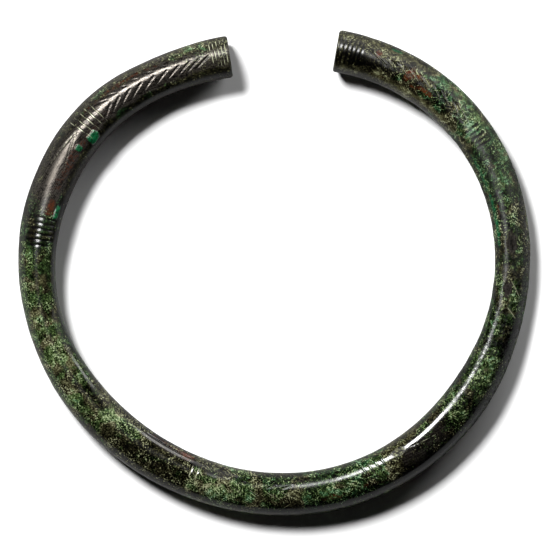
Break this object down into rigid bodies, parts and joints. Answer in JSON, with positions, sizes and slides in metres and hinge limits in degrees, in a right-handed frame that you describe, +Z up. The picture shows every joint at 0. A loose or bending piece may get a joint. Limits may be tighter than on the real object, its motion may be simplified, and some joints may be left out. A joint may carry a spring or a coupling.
{
  "type": "arm ring",
  "caption": "Open arm ring: a solid cast bronze bar bent to a rounded oval, engraved with bands of lines and herringbone strokes, with a worn green patina; it lies flat.",
  "frame": {"origin": "centre of the ring's outline in plan, on the surface that it lies on", "axes": "+Z up out of the ring's flat side, +X along its longest extent, +Y towards the gap between the terminals"},
  "size_m": [0.1052, 0.0996, 0.0087],
  "materials": {
    "bronze": "old bronze, dark brown and waxed where it is bare, mottled green patina over most of the bar, pale deposit in the engraved lines"
  },
  "bodies": {
    "root": {"arm_ring": "bronze"}
  },
  "joints": []
}
